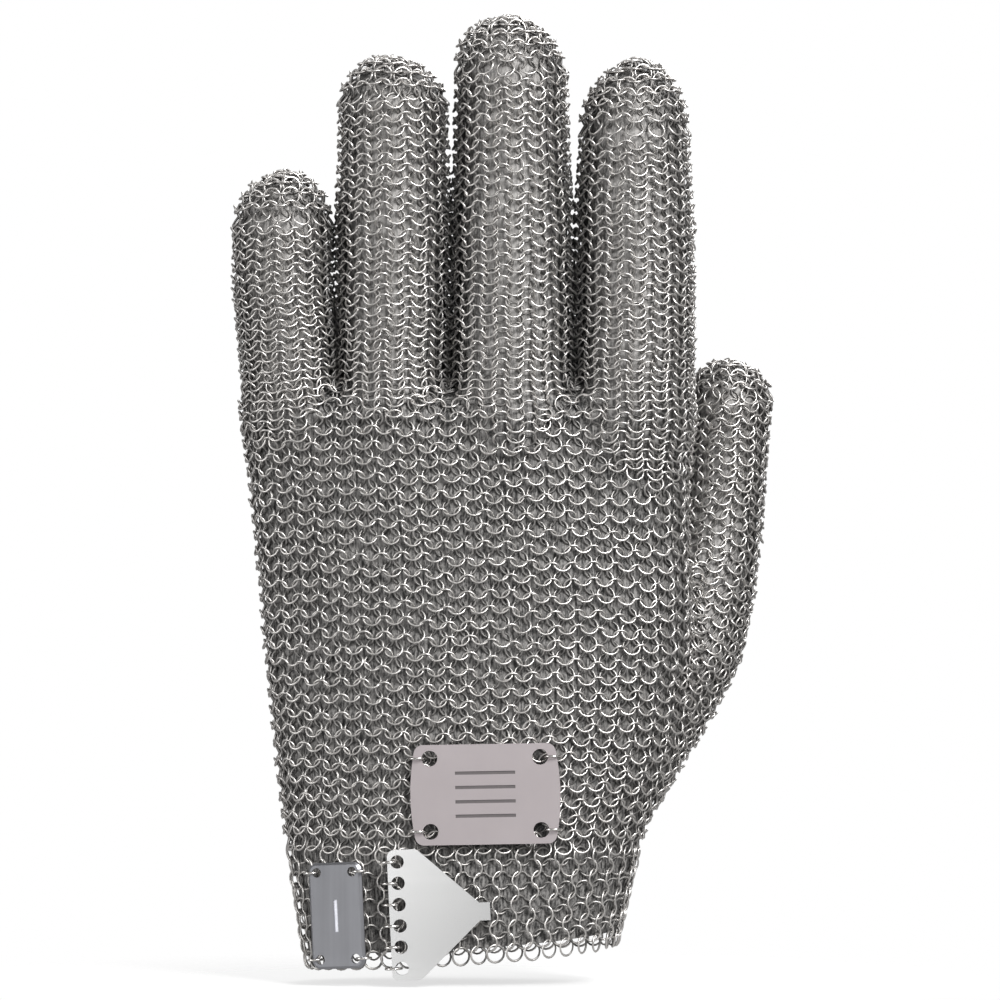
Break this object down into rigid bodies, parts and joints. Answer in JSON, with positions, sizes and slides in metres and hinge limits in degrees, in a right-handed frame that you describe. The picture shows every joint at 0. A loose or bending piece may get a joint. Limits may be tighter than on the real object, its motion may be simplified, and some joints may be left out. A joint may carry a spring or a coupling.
{
  "type": "cut resistant glove",
  "caption": "Five-finger steel ring-mesh work glove with a short cuff, a hook clasp plate, a flat identity plate and a small size tag.",
  "frame": {"origin": "centre of the wrist opening at the hem's lowest level", "axes": "+Z from the wrist up the fingers, +X to the thumb side, -Y out of the back of the hand, +Y out of the palm"},
  "size_m": [0.1185, 0.054, 0.2096],
  "materials": {
    "ring_mesh": "woven rings of bright stainless wire",
    "bright_wire": "bright drawn wire",
    "polished_plate": "polished stainless sheet",
    "satin_plate": "satin stainless sheet",
    "brushed_tag": "brushed darker stainless sheet"
  },
  "bodies": {
    "root": {"palm_back_mesh": "ring_mesh", "palm_front_mesh": "ring_mesh", "thumb_base_mesh": "ring_mesh", "cuff_mesh": "ring_mesh", "clasp_rings": "bright_wire", "id_plate": "satin_plate", "id_plate_rings": "bright_wire", "size_tag": "brushed_tag", "size_tag_rings": "bright_wire"},
    "little_finger_lower": {"little_lower_mesh": "ring_mesh"},
    "little_finger_upper": {"little_upper_mesh": "ring_mesh"},
    "ring_finger_lower": {"ring_lower_mesh": "ring_mesh"},
    "ring_finger_upper": {"ring_upper_mesh": "ring_mesh"},
    "middle_finger_lower": {"middle_lower_mesh": "ring_mesh"},
    "middle_finger_upper": {"middle_upper_mesh": "ring_mesh"},
    "index_finger_lower": {"index_lower_mesh": "ring_mesh"},
    "index_finger_upper": {"index_upper_mesh": "ring_mesh"},
    "thumb_lower": {"thumb_lower_mesh": "ring_mesh"},
    "thumb_upper": {"thumb_upper_mesh": "ring_mesh"},
    "clasp": {"clasp_plate": "polished_plate"}
  },
  "joints": [
    {"name": "little_knuckle_bend", "type": "hinge", "parent": "root", "child": "little_finger_lower", "pos_m": [-0.0378, 0, 0.1365], "axis": [-1, 0, 0], "range_deg": [0, 70]},
    {"name": "little_middle_bend", "type": "hinge", "parent": "little_finger_lower", "child": "little_finger_upper", "pos_m": [-0.0378, 0, 0.15403], "axis": [-1, 0, 0], "range_deg": [0, 75]},
    {"name": "ring_knuckle_bend", "type": "hinge", "parent": "root", "child": "ring_finger_lower", "pos_m": [-0.0137, 0, 0.1365], "axis": [-1, 0, 0], "range_deg": [0, 70]},
    {"name": "ring_middle_bend", "type": "hinge", "parent": "ring_finger_lower", "child": "ring_finger_upper", "pos_m": [-0.0137, 0, 0.16553], "axis": [-1, 0, 0], "range_deg": [0, 75]},
    {"name": "middle_knuckle_bend", "type": "hinge", "parent": "root", "child": "middle_finger_lower", "pos_m": [0.0121, 0, 0.1365], "axis": [-1, 0, 0], "range_deg": [0, 70]},
    {"name": "middle_middle_bend", "type": "hinge", "parent": "middle_finger_lower", "child": "middle_finger_upper", "pos_m": [0.0121, 0, 0.16971], "axis": [-1, 0, 0], "range_deg": [0, 75]},
    {"name": "index_knuckle_bend", "type": "hinge", "parent": "root", "child": "index_finger_lower", "pos_m": [0.0389, 0, 0.1365], "axis": [-1, 0, 0], "range_deg": [0, 70]},
    {"name": "index_middle_bend", "type": "hinge", "parent": "index_finger_lower", "child": "index_finger_upper", "pos_m": [0.0389, 0, 0.1652], "axis": [-1, 0, 0], "range_deg": [0, 75]},
    {"name": "thumb_base_bend", "type": "hinge", "parent": "root", "child": "thumb_lower", "pos_m": [0.05538, 0.01781, 0.091], "axis": [-0.7071, -0.7071, 0], "range_deg": [0, 40]},
    {"name": "thumb_end_bend", "type": "hinge", "parent": "thumb_lower", "child": "thumb_upper", "pos_m": [0.05813, 0.01947, 0.112], "axis": [-0.7071, -0.7071, 0], "range_deg": [0, 60]},
    {"name": "clasp_swing", "type": "hinge", "parent": "root", "child": "clasp", "pos_m": [-0.0139, -0.02223, 0.0131], "axis": [0.0471, -0.0014, -0.9989], "range_deg": [0, 120]}
  ]
}
